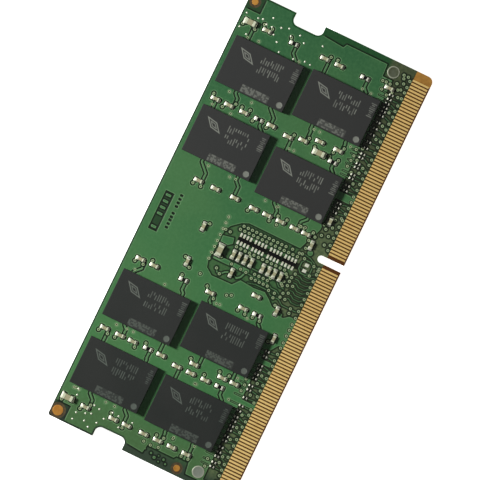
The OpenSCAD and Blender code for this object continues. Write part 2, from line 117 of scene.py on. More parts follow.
class Shader:
    """A node material that is built by short calls."""

    def __init__(self, name, roughness, metallic=0.0, specular=0.5):
        self.material = bpy.data.materials.new(name)
        self.material.use_nodes = True
        self.tree = self.material.node_tree
        self.surface = self.tree.nodes["Principled BSDF"]
        self.surface.inputs["Roughness"].default_value = roughness
        self.surface.inputs["Metallic"].default_value = metallic
        self.surface.inputs["Specular IOR Level"].default_value = specular
        self.place = self.add("ShaderNodeTexCoord").outputs["Object"]

    def add(self, kind, **values):
        node = self.tree.nodes.new(kind)
        for key, value in values.items():
            setattr(node, key, value)
        return node

    def join(self, value, socket):
        if isinstance(value, bpy.types.NodeSocket):
            self.tree.links.new(value, socket)
        else:
            socket.default_value = value

    def attribute(self, name):
        return self.add("ShaderNodeAttribute", attribute_name=name).outputs["Fac"]

    def axis(self, letter):
        node = self.add("ShaderNodeSeparateXYZ")
        self.join(self.place, node.inputs[0])
        return node.outputs[letter]

    def noise(self, per_mm, detail=3.0):
        node = self.add("ShaderNodeTexNoise")
        self.join(self.place, node.inputs["Vector"])
        node.inputs["Scale"].default_value = per_mm / MM
        node.inputs["Detail"].default_value = detail
        return node.outputs["Fac"]

    def remap(self, value, low, high, to_low=0.0, to_high=1.0):
        node = self.add("ShaderNodeMapRange", interpolation_type="SMOOTHSTEP")
        for socket, v in zip(node.inputs, (value, low, high, to_low, to_high)):
            self.join(v, socket)
        return node.outputs["Result"]

    def fade(self, letter, start, end):
        """0 to 1 between two places in millimetres along X, Y or Z."""
        return self.remap(self.axis(letter), start * MM, end * MM)

    def math(self, operation, a, b=0.0):
        node = self.add("ShaderNodeMath", operation=operation)
        self.join(a, node.inputs[0])
        self.join(b, node.inputs[1])
        return node.outputs[0]

    def mix(self, factor, a, b):
        node = self.add("ShaderNodeMix", data_type="RGBA")
        self.join(factor, node.inputs["Factor"])
        self.join(a, node.inputs["A"])
        self.join(b, node.inputs["B"])
        return node.outputs["Result"]

    def colour(self, value):
        self.join(value, self.surface.inputs["Base Color"])
        return self

    def roughness(self, value):
        self.join(value, self.surface.inputs["Roughness"])
        return self

    def bump(self, height, depth_mm, strength=1.0):
        node = self.add("ShaderNodeBump")
        node.inputs["Strength"].default_value = strength
        node.inputs["Distance"].default_value = depth_mm * MM
        self.join(height, node.inputs["Height"])
        self.join(node.outputs["Normal"], self.surface.inputs["Normal"])
        return self

    def mottled(self, per_mm, tone, other_tone, grain_per_mm, grain_mm, strength):
        """Two tones mixed by a soft noise, and a fine grain in relief."""
        self.colour(self.mix(self.noise(per_mm), paint(*tone), paint(*other_tone)))
        return self.bump(self.noise(grain_per_mm), grain_mm, strength)


def paint(red, green, blue):
    """A colour as it looks on a screen, 0 to 255, as the linear value a shader takes."""
    c = np.array([red, green, blue]) / 255
    linear = np.where(c <= 0.04045, c / 12.92, ((c + 0.055) / 1.055) ** 2.4)
    return (*linear.tolist(), 1.0)


# Glass cloth shows on the cut edge as fine pale threads in olive-brown resin. Between the contacts the
# laminate is bare, and there its own brown is made much darker: painted shade in the narrow gaps between the
# raised strips.
laminate = Shader("laminate", roughness=0.62, specular=0.2)
threads = laminate.add("ShaderNodeTexWave", wave_type="BANDS", bands_direction="Z")
laminate.join(laminate.place, threads.inputs["Vector"])
threads.inputs["Scale"].default_value = 3.2 / MM
threads.inputs["Distortion"].default_value = 2.0
weave = laminate.noise(1.6, 4.0)
resin_tone = laminate.mix(laminate.remap(weave, 0.35, 0.7), paint(168, 122, 54), paint(146, 104, 42))
cut_edge = laminate.mix(laminate.remap(threads.outputs["Fac"], 0.4, 0.9, 0.0, 0.25),
                        resin_tone, paint(186, 150, 92))
between_ends = laminate.remap(laminate.math("ABSOLUTE", laminate.axis("X")), 33.4 * MM, 33.2 * MM)
# Painted shade: the bare laminate between the contact strips is darkened to a deep brown.
contact_gap_shade = laminate.math("MULTIPLY", laminate.fade("Y", -12.1, -12.3), between_ends)
laminate.colour(laminate.mix(laminate.math("MULTIPLY", contact_gap_shade, 0.95), cut_edge, paint(76, 38, 0)))
laminate.bump(laminate.noise(7.0), 0.02, 0.5)
for name in ("prepreg", "inner_prepreg", "core"):
    for face in ("front", "back"):
        nodes[f"{name}_{face}"].data.materials[0] = laminate.material
nodes["middle_core"].data.materials[0] = laminate.material


# ------------------------------------------------- copper inside the board
# Rolled copper foil, etched and oxidised brown so that the resin grips it.

foil = Shader("inner_copper_foil", roughness=0.5, metallic=1.0)
foil.mottled(0.8, (168, 96, 58), (132, 74, 46), 12.0, 0.01, 0.4)
for name in ("ground_plane", "signal_plane", "power_plane"):
    for face in ("front", "back"):
        nodes[f"{name}_{face}"].data.materials[0] = foil.material


# ------------------------------------------------------------- solder mask
# Liquid green resin cured over the etched outer copper. It follows the copper, so the
# pour and the tracks stand a little proud and look lighter, and bare laminate is dark.

def solids(node):
    """Low and high corners in millimetres of each separate solid of a CAD node. Corners
    that share a triangle get one label, and labels spread until nothing changes."""
    mesh = nodes[node].data
    corners = np.empty(len(mesh.vertices) * 3)
    mesh.vertices.foreach_get("co", corners)
    places, same = np.unique(np.round(corners.reshape(-1, 3) / MM, 4), axis=0, return_inverse=True)
    loops = np.empty(len(mesh.loops), int)
    mesh.loops.foreach_get("vertex_index", loops)
    triangles = same.ravel()[loops].reshape(-1, 3)
    label = np.arange(len(places))
    while True:
        lowest = label[triangles].min(axis=1)
        spread = label.copy()
        np.minimum.at(spread, triangles.ravel(), np.repeat(lowest, 3))
        spread = spread[spread]
        if np.array_equal(spread, label):
            break
        label = spread
    kinds, which = np.unique(label, return_inverse=True)
    low = np.full((len(kinds), 3), np.inf)
    high = np.full((len(kinds), 3), -np.inf)
    np.minimum.at(low, which.ravel(), places)
    np.maximum.at(high, which.ravel(), places)
    return low, high


def in_box(x, y, cx, cy, hx, hy, r=0.0):
    """Distance inside a rectangle with round corners: half sizes minus the distance from
    the centre, negative outside."""
    dx = np.abs(x - cx) - hx + r
    dy = np.abs(y - cy) - hy + r
    return r - np.hypot(np.maximum(dx, 0), np.maximum(dy, 0)) - np.minimum(np.maximum(dx, dy), 0)


def in_disc(x, y, cx, cy, r):
    """Distance inside a disc: its radius minus the distance from its centre."""
    return r - np.hypot(x - cx, y - cy)


def in_track(x, y, path, width):
    """Distance inside a track of one width along straight stretches: half its width minus
    the distance to the nearest stretch."""
    best = np.full(x.shape, np.inf)
    for (x0, y0), (x1, y1) in zip(path[:-1], path[1:]):
        dx, dy = x1 - x0, y1 - y0
        t = np.clip(((x - x0) * dx + (y - y0) * dy) / max(dx * dx + dy * dy, 1e-12), 0, 1)
        best = np.minimum(best, np.hypot(x - x0 - t * dx, y - y0 - t * dy))
    return width / 2 - best


length, width = board_high.x - board_low.x, board_high.y - board_low.y
corner_r = 0.4
latch = {"y": 20.25 - width / 2, "h": 4.8, "d": 1.75, "r": 0.9}
key = {"x": 3.5, "w": 1.1, "h": 4.05}


def in_board(x, y, inset=0.0):
    """Distance inside the routed outline: inside the rounded rectangle, and outside the two
    latch notches and the key slot."""
    inside = in_box(x, y, 0, 0, length / 2 - inset, width / 2 - inset, corner_r)
    notch = in_box(np.abs(x), y, length / 2, latch["y"], latch["d"] + inset,
                   latch["h"] / 2 + inset, latch["r"] + inset)
    slot_top = key["h"] - key["w"] / 2 - width / 2
    slot = in_track(x, y, [(key["x"], -width), (key["x"], slot_top)], key["w"] + 2 * inset)
    return np.minimum(inside, -np.maximum(notch, slot))


class Etching:
    """The outer copper as a distance field on a grid over the board: positive inside
    copper. Cutting takes the smaller of two distances, adding the larger."""

    def __init__(self, step):
        across = round((board_high.y - mask_low.y) / step)
        self.xs = np.linspace(board_low.x, board_high.x, round(length / step) + 1)
        self.ys = np.linspace(mask_low.y, board_high.y, across + 1)
        self.x, self.y = np.meshgrid(self.xs, self.ys)
        self.copper = in_board(self.x, self.y, 0.25)
        self.hole = np.full(self.x.shape, -1.0)
        self.ring = np.full(self.x.shape, -1.0)
        self.bare = np.full(self.x.shape, -1.0)
        self.rim = in_board(self.x, self.y)

    def window(self, x0, x1, y0, y1, margin=0.8):
        i = np.searchsorted(self.xs, (x0 - margin, x1 + margin))
        j = np.searchsorted(self.ys, (y0 - margin, y1 + margin))
        return slice(*j), slice(*i)

    def cut(self, w, inside):
        self.copper[w] = np.minimum(self.copper[w], -inside)

    def add(self, w, inside):
        self.copper[w] = np.maximum(self.copper[w], inside)

    def box(self, x0, x1, y0, y1, r=0.0, keep=False):
        w = self.window(x0, x1, y0, y1)
        inside = in_box(self.x[w], self.y[w], (x0 + x1) / 2, (y0 + y1) / 2,
                        (x1 - x0) / 2, (y1 - y0) / 2, r)
        self.add(w, inside) if keep else self.cut(w, inside)

    def disc(self, cx, cy, r, keep=False):
        w = self.window(cx - r, cx + r, cy - r, cy + r)
        inside = in_disc(self.x[w], self.y[w], cx, cy, r)
        self.add(w, inside) if keep else self.cut(w, inside)

    def shape(self, corners, keep=False):
        """A polygon with straight sides, given in order round it. Inside is counted by how
        many sides a line to the left crosses."""
        xs, ys = zip(*corners)
        w = self.window(min(xs), max(xs), min(ys), max(ys))
        x, y = self.x[w], self.y[w]
        closed = list(corners) + [corners[0]]
        odd = np.zeros(x.shape, bool)
        for (x0, y0), (x1, y1) in zip(closed[:-1], closed[1:]):
            if y0 != y1:
                odd ^= ((y0 > y) != (y1 > y)) & (x > x0 + (y - y0) * (x1 - x0) / (y1 - y0))
        away = -in_track(x, y, closed, 0.0)
        inside = np.where(odd, away, -away)
        self.add(w, inside) if keep else self.cut(w, inside)

    def open_mask(self, cx, cy, r):
        w = self.window(cx - r, cx + r, cy - r, cy + r)
        self.bare[w] = np.maximum(self.bare[w], in_disc(self.x[w], self.y[w], cx, cy, r))

    def island(self, low, high, grow, gap, vias=(), track=0.24):
        """A land with its holes and the tracks to them, standing apart from the pour."""
        cx, cy = (low[0] + high[0]) / 2, (low[1] + high[1]) / 2
        w = self.window(low[0] - 0.6, high[0] + 0.6, low[1] - 0.6, high[1] + 0.6, 0.6)
        x, y = self.x[w], self.y[w]
        inside = in_box(x, y, cx, cy, (high[0] - low[0]) / 2 + grow, (high[1] - low[1]) / 2 + grow, 0.08)
        for vx, vy in vias:
            inside = np.maximum(inside, in_disc(x, y, vx, vy, 0.25))
            inside = np.maximum(inside, in_track(x, y, [(cx, cy), (vx, vy)], track))
        self.cut(w, inside + gap)
        self.add(w, inside)
        for vx, vy in vias:
            self.via(vx, vy, 0.25, 0.1)

    def track(self, path, width=0.22, gap=0.15):
        px, py = zip(*path)
        w = self.window(min(px), max(px), min(py), max(py))
        self.cut(w, in_track(self.x[w], self.y[w], path, width + 2 * gap))
        self.add(w, in_track(self.x[w], self.y[w], path, width))

    def via(self, cx, cy, ring_r=0.27, hole_r=0.1, gap=0.0):
        w = self.window(cx - ring_r, cx + ring_r, cy - ring_r, cy + ring_r)
        away = in_disc(self.x[w], self.y[w], cx, cy, 0.0)
        if gap:
            self.cut(w, away + ring_r + gap)
        self.add(w, away + ring_r)
        self.ring[w] = np.maximum(self.ring[w], away + ring_r)
        self.hole[w] = np.maximum(self.hole[w], away + hole_r)


def jog(x0, y0, x1, y1, start=0.35):
    """A track from (x0, y0) that runs straight, then slants to the height y1, then runs
    straight again: the slant is at 45 degrees."""
    way = 1 if x1 > x0 else -1
    slant = min(abs(y1 - y0), abs(x1 - x0) - start)
    a = x0 + way * min(start + max(abs(x1 - x0) - start - slant, 0) / 2, abs(x1 - x0))
    return [(x0, y0), (a, y0), (a + way * slant, y1), (x1, y1)]


def small_parts(face, side):
    """Every metal end of the two-ended parts of a face: low and high corners, and the way
    that points from the part's body out past the end."""
    low, high, way = [], [], []
    for kind in ("capacitor", "resistor"):
        end_low, end_high = to_outward(*solids(f"{kind}_ends_{face}"), side)
        body_low, body_high = to_outward(*solids(f"{kind}_bodies_{face}"), side)
        end, body = (end_low + end_high) / 2, (body_low + body_high) / 2
        apart = end[:, None, :2] - body[None, :, :2]
        nearest = np.hypot(apart[..., 0], apart[..., 1]).argmin(axis=1)
        out = (end - body[nearest])[:, :2]
        way.append(np.where(np.abs(out) > 0.05, np.sign(out), 0.0))
        low.append(end_low)
        high.append(end_high)
    return np.vstack(low), np.vstack(high), np.vstack(way)


def to_outward(low, high, side):
    """Corners with heights measured outwards from the board's middle plane."""
    low, high = low.copy(), high.copy()
    a, b = side * (low[:, 2] - middle), side * (high[:, 2] - middle)
    low[:, 2], high[:, 2] = np.minimum(a, b), np.maximum(a, b)
    return low, high


packages = {
    (face, i): (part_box(f"memory_chip_{face}_{i}")[0] / MM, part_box(f"memory_chip_{face}_{i}")[1] / MM)
    for face in ("front", "back") for i in range(1, 9)
}
chance = np.random.default_rng(7)
band_top, band_foot = -9.5, -12.4


def etch_parts(e, face, side):
    """Lands with gaps round them, and the holes that carry their tracks to other layers."""
    low, high, way = small_parts(face, side)
    for a, b, out in zip(low, high, way):
        wide = max(b[0] - a[0], b[1] - a[1])
        if wide < 0.4:
            e.island(a, b, 0.02, 0.07)
            continue
        reach = 0.22 * out
        land_low = np.minimum(a[:2], a[:2] + reach)
        land_high = np.maximum(b[:2], b[:2] + reach)
        holes = []
        if chance.uniform() < 0.6:
            across = np.array([-out[1], out[0]]) * chance.choice((-1, 1))
            past, aside = chance.uniform(0.1, 0.5), chance.uniform(0.55, 0.7)
            holes.append(tuple((a[:2] + b[:2]) / 2 + out * past + across * aside))
        e.island(land_low, land_high, 0.03, 0.16, holes)


def etch_front(e):
    """Areas without copper: the corners, the ends, the middle and the band above the
    contacts. Strips of the pour cross the band."""
    top, left, right = width / 2, -length / 2, length / 2
    e.box(left - 1, left + 2.6, top - 2.6, top + 1)
    e.box(right - 2.6, right + 1, top - 2.6, top + 1)
    e.shape([(left - 1, 3.1), (left + 1.3, 3.1), (left + 1.0, -0.1), (left + 2.3, -0.3),
             (left + 2.3, -4.6), (left + 2.7, -4.9), (left + 2.7, -6.9), (left + 0.9, -7.2),
             (left + 0.9, band_foot), (left - 1, band_foot)])
    e.shape([(right + 1, 2.8), (right - 1.3, 2.8), (right - 1.6, -0.8), (right - 1.0, -1.1),
             (right - 1.0, -7.8), (right - 2.9, -7.9), (right - 2.9, band_foot), (right + 1, band_foot)])
    e.shape([(1.2, 3.2), (2.1, 2.7), (3.2, 1.4), (3.65, 0.4), (3.6, -8.0), (5.2, -8.6), (5.2, -8.3),
             (6.0, -8.3), (6.0, -9.0), (7.4, band_top), (10.4, band_top), (33.5, band_top),
             (33.5, band_foot), (-33.5, band_foot), (-33.5, -9.9), (-6.4, -9.9), (-6.0, -8.0),
             (-5.2, -7.1), (-4.5, -6.1), (-4.7, -4.4), (-4.5, -2.1), (-5.6, -1.2), (-5.7, 2.1),
             (-4.9, 3.2), (-4.0, 3.45)])
    e.box(-21.0, -20.3, band_foot, -9.4, keep=True)
    e.box(-14.3, -13.6, band_foot, -9.4, keep=True)
    e.shape([(-12.0, -9.4), (-12.0, -10.6), (-10.8, -11.4), (-10.8, band_foot), (-6.2, band_foot),
             (-6.2, -11.0), (-6.8, -10.2), (-6.8, -9.4)], keep=True)
    e.shape([(12.6, -9.4), (12.6, band_foot), (13.8, band_foot), (13.8, -9.4)], keep=True)
    e.shape([(0.4, 3.15), (0.75, 1.45), (-0.15, 1.25), (-0.8, 2.1), (-0.9, 3.1)], keep=True)
    e.shape([(-3.3, 3.05), (-2.6, 3.05), (-2.55, -2.6), (-3.25, -2.9)], keep=True)
    e.disc(3.6, -9.65, 0.42, keep=True)


# Tracks from the small parts to the packages: column, side, height at the part and at
# the package
package_tracks = [
    (-31.1, 1, 9.9, 10.7), (-31.0, 1, 4.3, 5.0), (-30.9, 1, -1.9, -1.8), (-30.9, 1, -6.4, -6.3),
    (-19.9, -1, 12.3, 12.3), (-19.3, 1, 10.0, 10.5), (-19.9, -1, 5.4, 5.3), (-19.3, 1, 4.1, 4.1),
    (-20.4, -1, 0.3, 0.3), (-18.4, 1, -2.0, -2.0), (-20.4, -1, -6.7, -7.4), (-18.4, 1, -7.4, -7.4),
    (-8.4, -1, 11.8, 12.7), (-8.4, -1, 5.1, 4.7), (-8.4, -1, 0.7, 0.4), (-8.4, -1, -7.2, -7.7),
    (6.4, 1, 9.4, 10.7), (6.4, 1, 4.2, 4.9), (6.2, 1, -2.5, -1.6), (6.2, 1, -6.4, -7.1),
    (17.8, -1, 12.7, 12.7), (18.4, 1, 10.0, 10.6), (17.8, -1, 5.3, 4.5), (18.4, 1, 3.9, 5.0),
    (17.4, -1, 0.2, 0.2), (18.5, 1, -1.9, -1.7), (16.9, -1, -7.0, -7.7), (19.4, 1, -7.3, -7.2),
    (30.2, -1, 12.4, 12.4), (30.2, -1, 5.5, 4.6), (30.2, -1, 0.2, 0.2), (30.2, -1, -6.2, -6.8),
]


def etch_package_tracks(e):
    lows = np.array([v[0] for k, v in packages.items() if k[0] == "front"])
    highs = np.array([v[1] for k, v in packages.items() if k[0] == "front"])
    for x, way, y0, y1 in package_tracks:
        row = (lows[:, 1] < y1) & (highs[:, 1] > y1)
        edges = lows[row, 0] if way > 0 else highs[row, 0]
        edge = min(edges, key=lambda at: abs(at - x) if (at - x) * way > 0 else 99)
        e.track(jog(x, y0, edge + way * 0.4, y1), 0.3, 0.2)


def etch_centre(e):
    """Tracks round the resistor arrays, and the bundle from them to the contacts."""
    thin = {"width": 0.13, "gap": 0.12}
    e.track([(-4.4, 1.9), (-4.9, 1.6), (-5.0, 1.1), (-4.4, 0.5), (-4.2, 0.1)], 0.22, 0.12)
    e.track([(-4.3, -0.9), (-4.5, -1.4), (-4.1, -1.9), (-3.1, -2.3)], 0.26, 0.12)
    e.track([(-4.4, -3.2), (-4.1, -4.4), (-4.1, -6.4), (-4.6, -7.0), (-4.6, -8.4), (-5.2, -9.2),
             (-5.2, -11.4), (-4.9, -12.3)], **thin)
    e.track([(-3.2, -2.6), (-3.2, -6.0), (-3.6, -6.7), (-3.6, -7.6), (-3.9, -8.1)], **thin)
    e.track([(-2.2, -2.9), (-2.2, -6.9), (-2.9, -7.6), (-2.9, -8.4)], **thin)
    for k in range(9):
        x = -3.9 + 0.62 * k
        e.track([(x, -9.3), (x, -9.8), (x - 0.35, -10.3), (x - 0.35, -11.2), (x, -11.7), (x, -12.3)], **thin)
    corners = [(0.3, -9.6), (0.8, -9.1), (1.9, -9.1), (2.4, -9.6), (2.4, -10.4), (1.9, -10.9),
               (0.8, -10.9), (0.3, -10.4), (0.3, -9.6)]
    e.track(corners, 0.14, 0.1)
    e.track([(3.1, -8.9), (2.9, -10.0), (2.4, -11.0), (1.7, -11.8)], 0.13, 0.1)


def etch_fan_out(e):
    """Tracks from the series resistors down to the contacts, slanting a little towards the
    nearest contact, and up to the packages. Each contact's neck goes in under the mask."""
    low, high = solids("resistor_bodies_front")
    centre, size = (low + high) / 2, high - low
    row = centre[(size[:, 0] < 0.4)]
    for x, y, _ in row:
        foot = round((x - 0.35) * 2) / 2 + 0.25
        e.track([(x, y - 0.3), (x, y - 0.6), (foot, y - 1.3), (foot, band_foot)], 0.13, 0.1)
        e.track([(x, y + 0.3), (x, -8.6)], 0.13, 0.1)
    low, high = solids("contacts_front")
    neck = 0.15
    for x in (low[:, 0] + high[:, 0]) / 2:
        e.box(x - neck, x + neck, band_foot - 0.5, band_foot + 0.25, keep=True)


# Plated holes that the mask covers, by area
column_holes = [(2.93, 0.9, -6.1, 0.69), (2.3, 1.2, -8.4, 0.72), (-0.3, 0.6, -8.0, 0.72),
                (-2.8, -3.6, -5.9, 0.7), (-3.55, -3.4, -6.1, 0.66)]
row_holes = [(3.55, -3.6, 3.3, 0.97)]
single_holes = [
    (-32.3, -0.7), (-32.1, -1.9), (-32.2, 0.45), (-30.0, -3.3),
    (1.35, 3.15), (1.3, 2.4), (-4.4, 1.9), (-5.0, 1.15), (-2.9, 0.15), (-3.0, -1.4), (-3.1, -2.3),
    (3.0, -7.05), (2.9, -8.2), (3.0, -8.65), (2.5, -9.25), (-0.15, -9.0), (-4.05, -6.5),
    (-4.05, -7.45), (-4.75, -7.55), (-3.5, -8.6), (-3.15, -9.3), (-4.2, -8.45), (-4.2, -9.25),
    (-1.95, -9.45), (-2.2, -8.7), (-2.55, -8.0), (-1.5, -8.7), (-0.85, -8.75), (-1.85, -7.95),
    (-1.05, -8.05), (2.05, -11.0), (0.5, -11.0), (1.7, -11.85), (6.05, -9.25), (6.7, -7.35),
    (6.55, -6.4), (5.2, -3.3), (-7.4, -1.2), (-7.1, -1.85), (-6.2, 3.7), (-5.8, -10.7), (-5.1, -10.6),
    (6.7, -10.0), (7.8, -10.2), (5.6, -11.0), (7.0, -11.0), (8.4, -11.0), (9.6, -10.9), (10.2, -11.6),
    (30.6, -9.0), (31.3, -9.4), (31.8, -10.3), (32.2, -11.2), (31.2, -11.2), (33.4, -11.4),
    (32.9, -10.9), (30.1, -8.6), (31.3, -8.2), (29.6, -9.6), (30.4, -10.2), (31.0, -10.8),
    (33.4, -10.7), (30.0, -11.3), (17.6, -9.0), (18.6, -9.1), (19.4, -9.2), (20.4, -9.1), (17.0, -9.9),
    (19.0, -9.9), (20.9, -9.9), (21.6, -9.0), (17.4, -11.0), (18.3, -11.2), (15.6, -10.9),
    (-30.4, -9.2), (-31.6, -9.3), (-30.2, -11.0), (-29.2, -11.1), (-17.3, -9.2), (-18.2, -9.4),
    (-19.2, -9.3), (-17.2, -11.0), (-15.9, -11.1), (-19.2, -10.8), (-22.4, -11.0), (-24.4, -11.1),
    (-26.4, -11.0), (23.0, -11.1), (25.2, -11.1), (27.4, -11.1),
]


def etch_holes(e):
    for x, y_from, y_to, pitch in column_holes:
        for y in np.arange(y_from, y_to, -pitch):
            e.via(x, y, 0.25, 0.1, 0.1)
    for y, x_from, x_to, pitch in row_holes:
        for x in np.arange(x_from, x_to, pitch):
            e.via(x, y, 0.26, 0.1, 0.04)
    for x, y in single_holes:
        e.via(x, y, 0.25, 0.1, 0.1)
    for x in np.concatenate([np.arange(-33.0, 2.2, 1.0), np.arange(5.0, 33.3, 1.0)]):
        e.via(x + chance.uniform(-0.12, 0.12), -11.85 + chance.uniform(-0.05, 0.05), 0.25, 0.1, 0.1)
    for low, high in [v for k, v in packages.items() if k[0] == "front"]:
        for _ in range(5):
            y = chance.uniform(low.y + 0.8, high.y - 0.8)
            to_right = chance.uniform() < 0.5
            away = chance.uniform(0.4, 0.6)
            e.via(high.x + away if to_right else low.x - away, y, 0.24, 0.1, 0.02)


def etch_window(e):
    """A window in the pour with plain blocks in it, a row of small slots below, and specks
    of copper left at the left end."""
    e.box(-3.45, 2.75, 12.25, 13.65, 0.05)
    for x in (-2.9, -0.8, 0.2, 1.2, 2.2):
        e.box(x - 0.2, x + 0.2, 12.55, 13.4, 0.05, keep=True)
    for x in (-2.2, -1.6, -1.0, -0.5, 0.1, 1.2, 1.8, 2.4, 3.0):
        e.box(x - 0.17, x + 0.17, 10.95, 11.45, 0.05)
    for x, y, r in ((-33.3, -1.3, 0.18), (-33.7, -2.0, 0.24), (-33.2, -2.5, 0.12), (-33.4, -3.4, 0.2),
                    (-34.0, -2.8, 0.14), (-33.9, -3.9, 0.16), (-33.1, -0.2, 0.14)):
        e.disc(x, y, r, keep=True)


def relief(e):
    """Height of the cured mask: the laminate's level, plus the copper's thickness where there
    is copper, plus a rim round each plated hole and a dip in it. An opening in the mask goes
    down almost to the laminate."""
    rise = np.clip(e.copper / 0.1 + 0.5, 0, 1)
    rise = rise * rise * (3 - 2 * rise)
    base = laminate_top + 0.016
    on_copper = mask_top - 0.012
    rim = np.clip(1 - np.abs(e.ring - 0.08) / 0.1, 0, 1) * 0.01
    dip = np.clip(e.hole / 0.06, 0, 1) * 0.03
    cured = base + (on_copper - base) * rise + rim - dip
    return cured + (laminate_top + 0.004 - cured) * np.clip(e.bare / 0.1 + 0.5, 0, 1)


mask_attributes = ("copper", "hole", "ring", "bare", "rim")


def trimmed_sheet(e, height, x_from, x_to):
    """The grid between two x positions as triangles, cut along the outline where the distance
    inside the board is zero. A triangle with one corner outside becomes two, and one with
    two corners outside becomes one. Cut corners lie where the distance crosses zero."""
    i0, i1 = np.searchsorted(e.xs, (x_from - 1e-6, x_to - 1e-6))
    i1 = min(i1, len(e.xs) - 1)
    part = (slice(None), slice(i0, i1 + 1))
    x, y, z = e.x[part].ravel(), e.y[part].ravel(), height[part].ravel()
    marked = [getattr(e, label)[part].ravel() for label in mask_attributes]
    fields = np.stack([x, y, z] + marked, 1)
    inside = in_board(x, y)
    inside[np.abs(inside) < 0.004] = 0.0
    rows, columns = e.x[part].shape
    a = (np.arange(rows - 1)[:, None] * columns + np.arange(columns - 1)[None, :]).ravel()
    triangles = np.concatenate([np.stack([a, a + 1, a + columns + 1], 1),
                                np.stack([a, a + columns + 1, a + columns], 1)])
    out = inside[triangles] < 0
    count = out.sum(axis=1)
    whole = triangles[count == 0]
    made = [whole]
    extra = []
    total = len(fields)

    def crossing(p, q):
        t = (inside[p] / (inside[p] - inside[q]))[:, None]
        extra.append(fields[p] * (1 - t) + fields[q] * t)
        return len(p)

    for n_out in (1, 2):
        cut = triangles[count == n_out]
        lone = out[count == n_out] if n_out == 1 else ~out[count == n_out]
        first = lone.argmax(axis=1)
        turn = (first[:, None] + np.arange(3)[None, :]) % 3
        p, q, r = np.take_along_axis(cut, turn, 1).T
        n = len(p)
        crossing(p, q)
        crossing(p, r)
        pq, pr = total + np.arange(n), total + n + np.arange(n)
        total += 2 * n
        if n_out == 1:
            made += [np.stack([pq, q, r], 1), np.stack([pq, r, pr], 1)]
        else:
            made.append(np.stack([p, pq, pr], 1))
    return np.vstack([fields] + extra), np.vstack(made)


def mask_piece(name, e, side, x_from, x_to, material):
    """The mask's upper surface, with a skirt down to the laminate round its rim."""
    fields, triangles = trimmed_sheet(e, relief(e), x_from, x_to)
    used, triangles = np.unique(triangles, return_inverse=True)
    fields, triangles = fields[used], triangles.reshape(-1, 3)
    key_of = np.unique(np.round(fields[:, :2], 4), axis=0, return_inverse=True)[1].ravel()
    first = np.full(key_of.max() + 1, -1)
    first[key_of[::-1]] = np.arange(len(fields))[::-1]
    triangles = first[key_of[triangles]]
    a, b, c = triangles.T
    triangles = triangles[(a != b) & (b != c) & (a != c)]
    edges = np.concatenate([triangles[:, [0, 1]], triangles[:, [1, 2]], triangles[:, [2, 0]]])
    code = edges[:, 0].astype(np.int64) * len(fields) + edges[:, 1]
    back = edges[:, 1].astype(np.int64) * len(fields) + edges[:, 0]
    rim = edges[~np.isin(code, back)]
    rim_points, at = np.unique(rim, return_inverse=True)
    at = at.reshape(rim.shape) + len(fields)
    skirt = fields[rim_points].copy()
    skirt[:, 2] = laminate_top
    walls = np.concatenate([np.stack([rim[:, 1], rim[:, 0], at[:, 0]], 1),
                            np.stack([rim[:, 1], at[:, 0], at[:, 1]], 1)])
    fields, triangles = np.vstack([fields, skirt]), np.vstack([triangles, walls])
    used, triangles = np.unique(triangles, return_inverse=True)
    fields, triangles = fields[used], triangles.reshape(-1, 3)
    if side < 0:
        triangles = triangles[:, ::-1]
    points = fields[:, :3].copy()
    points[:, 2] = outward(side, points[:, 2])
    mesh = bpy.data.meshes.new(name)
    mesh.vertices.add(len(points))
    mesh.vertices.foreach_set("co", (points * MM).ravel())
    mesh.loops.add(triangles.size)
    mesh.loops.foreach_set("vertex_index", triangles.ravel())
    mesh.polygons.add(len(triangles))
    mesh.polygons.foreach_set("loop_start", np.arange(0, triangles.size, 3))
    mesh.update(calc_edges=True)
    for column, label in enumerate(mask_attributes, 3):
        add_attribute(mesh, label, fields[:, column])
    shape = bmesh.new()
    shape.from_mesh(mesh)
    bmesh.ops.holes_fill(shape, edges=[e for e in shape.edges if e.is_boundary])
    shape.to_mesh(mesh)
    shape.free()
    mesh.shade_smooth()
    ends = np.empty(len(mesh.edges) * 2, int)
    mesh.edges.foreach_get("vertices", ends)
    on_rim = np.isin(ends.reshape(-1, 2), np.flatnonzero(np.isin(used, rim_points))).all(axis=1)
    mesh.attributes.new("sharp_edge", "BOOLEAN", "EDGE").data.foreach_set("value", on_rim)
    mesh.materials.append(material)
    piece = bpy.data.objects.new(name, mesh)
    bpy.context.scene.collection.objects.link(piece)
    return piece


mask = Shader("solder_mask", roughness=0.4, specular=0.3)
edge = mask.attribute("copper")
on_copper = mask.remap(edge, -0.03, 0.03)
cloud = mask.noise(0.07, 2.0)
grain = mask.noise(2.2, 4.0)
over_copper = mask.mix(mask.fade("X", -30, 34), paint(60, 114, 64), paint(40, 90, 52))
over_copper = mask.mix(mask.remap(cloud, 0.4, 0.65, 0.0, 0.5), over_copper, paint(72, 114, 66))
over_copper = mask.mix(mask.fade("X", -27, -32), over_copper, paint(66, 100, 58))
over_copper = mask.mix(mask.remap(grain, 0.3, 0.8, 0.0, 0.2), over_copper, paint(84, 134, 86))
streak = mask.remap(grain, 0.35, 0.7)
to_bare_right = mask.fade("X", 3, 24)
in_band = mask.mix(to_bare_right, mask.mix(streak, paint(70, 88, 56), paint(92, 106, 70)),
                   mask.mix(streak, paint(58, 70, 44), paint(74, 84, 54)))
above_band = mask.mix(to_bare_right, mask.mix(streak, paint(48, 88, 48), paint(66, 100, 58)),
                      mask.mix(streak, paint(16, 68, 30), paint(30, 76, 36)))
over_laminate = mask.mix(mask.fade("Y", -8.8, -7.6), in_band, above_band)
over_laminate = mask.mix(mask.fade("Y", 9, 11), over_laminate, paint(30, 62, 32))
over_laminate = mask.mix(mask.fade("X", -31.5, -33.5), over_laminate,
                         mask.mix(mask.remap(cloud, 0.45, 0.55), paint(34, 48, 36), paint(48, 64, 48)))
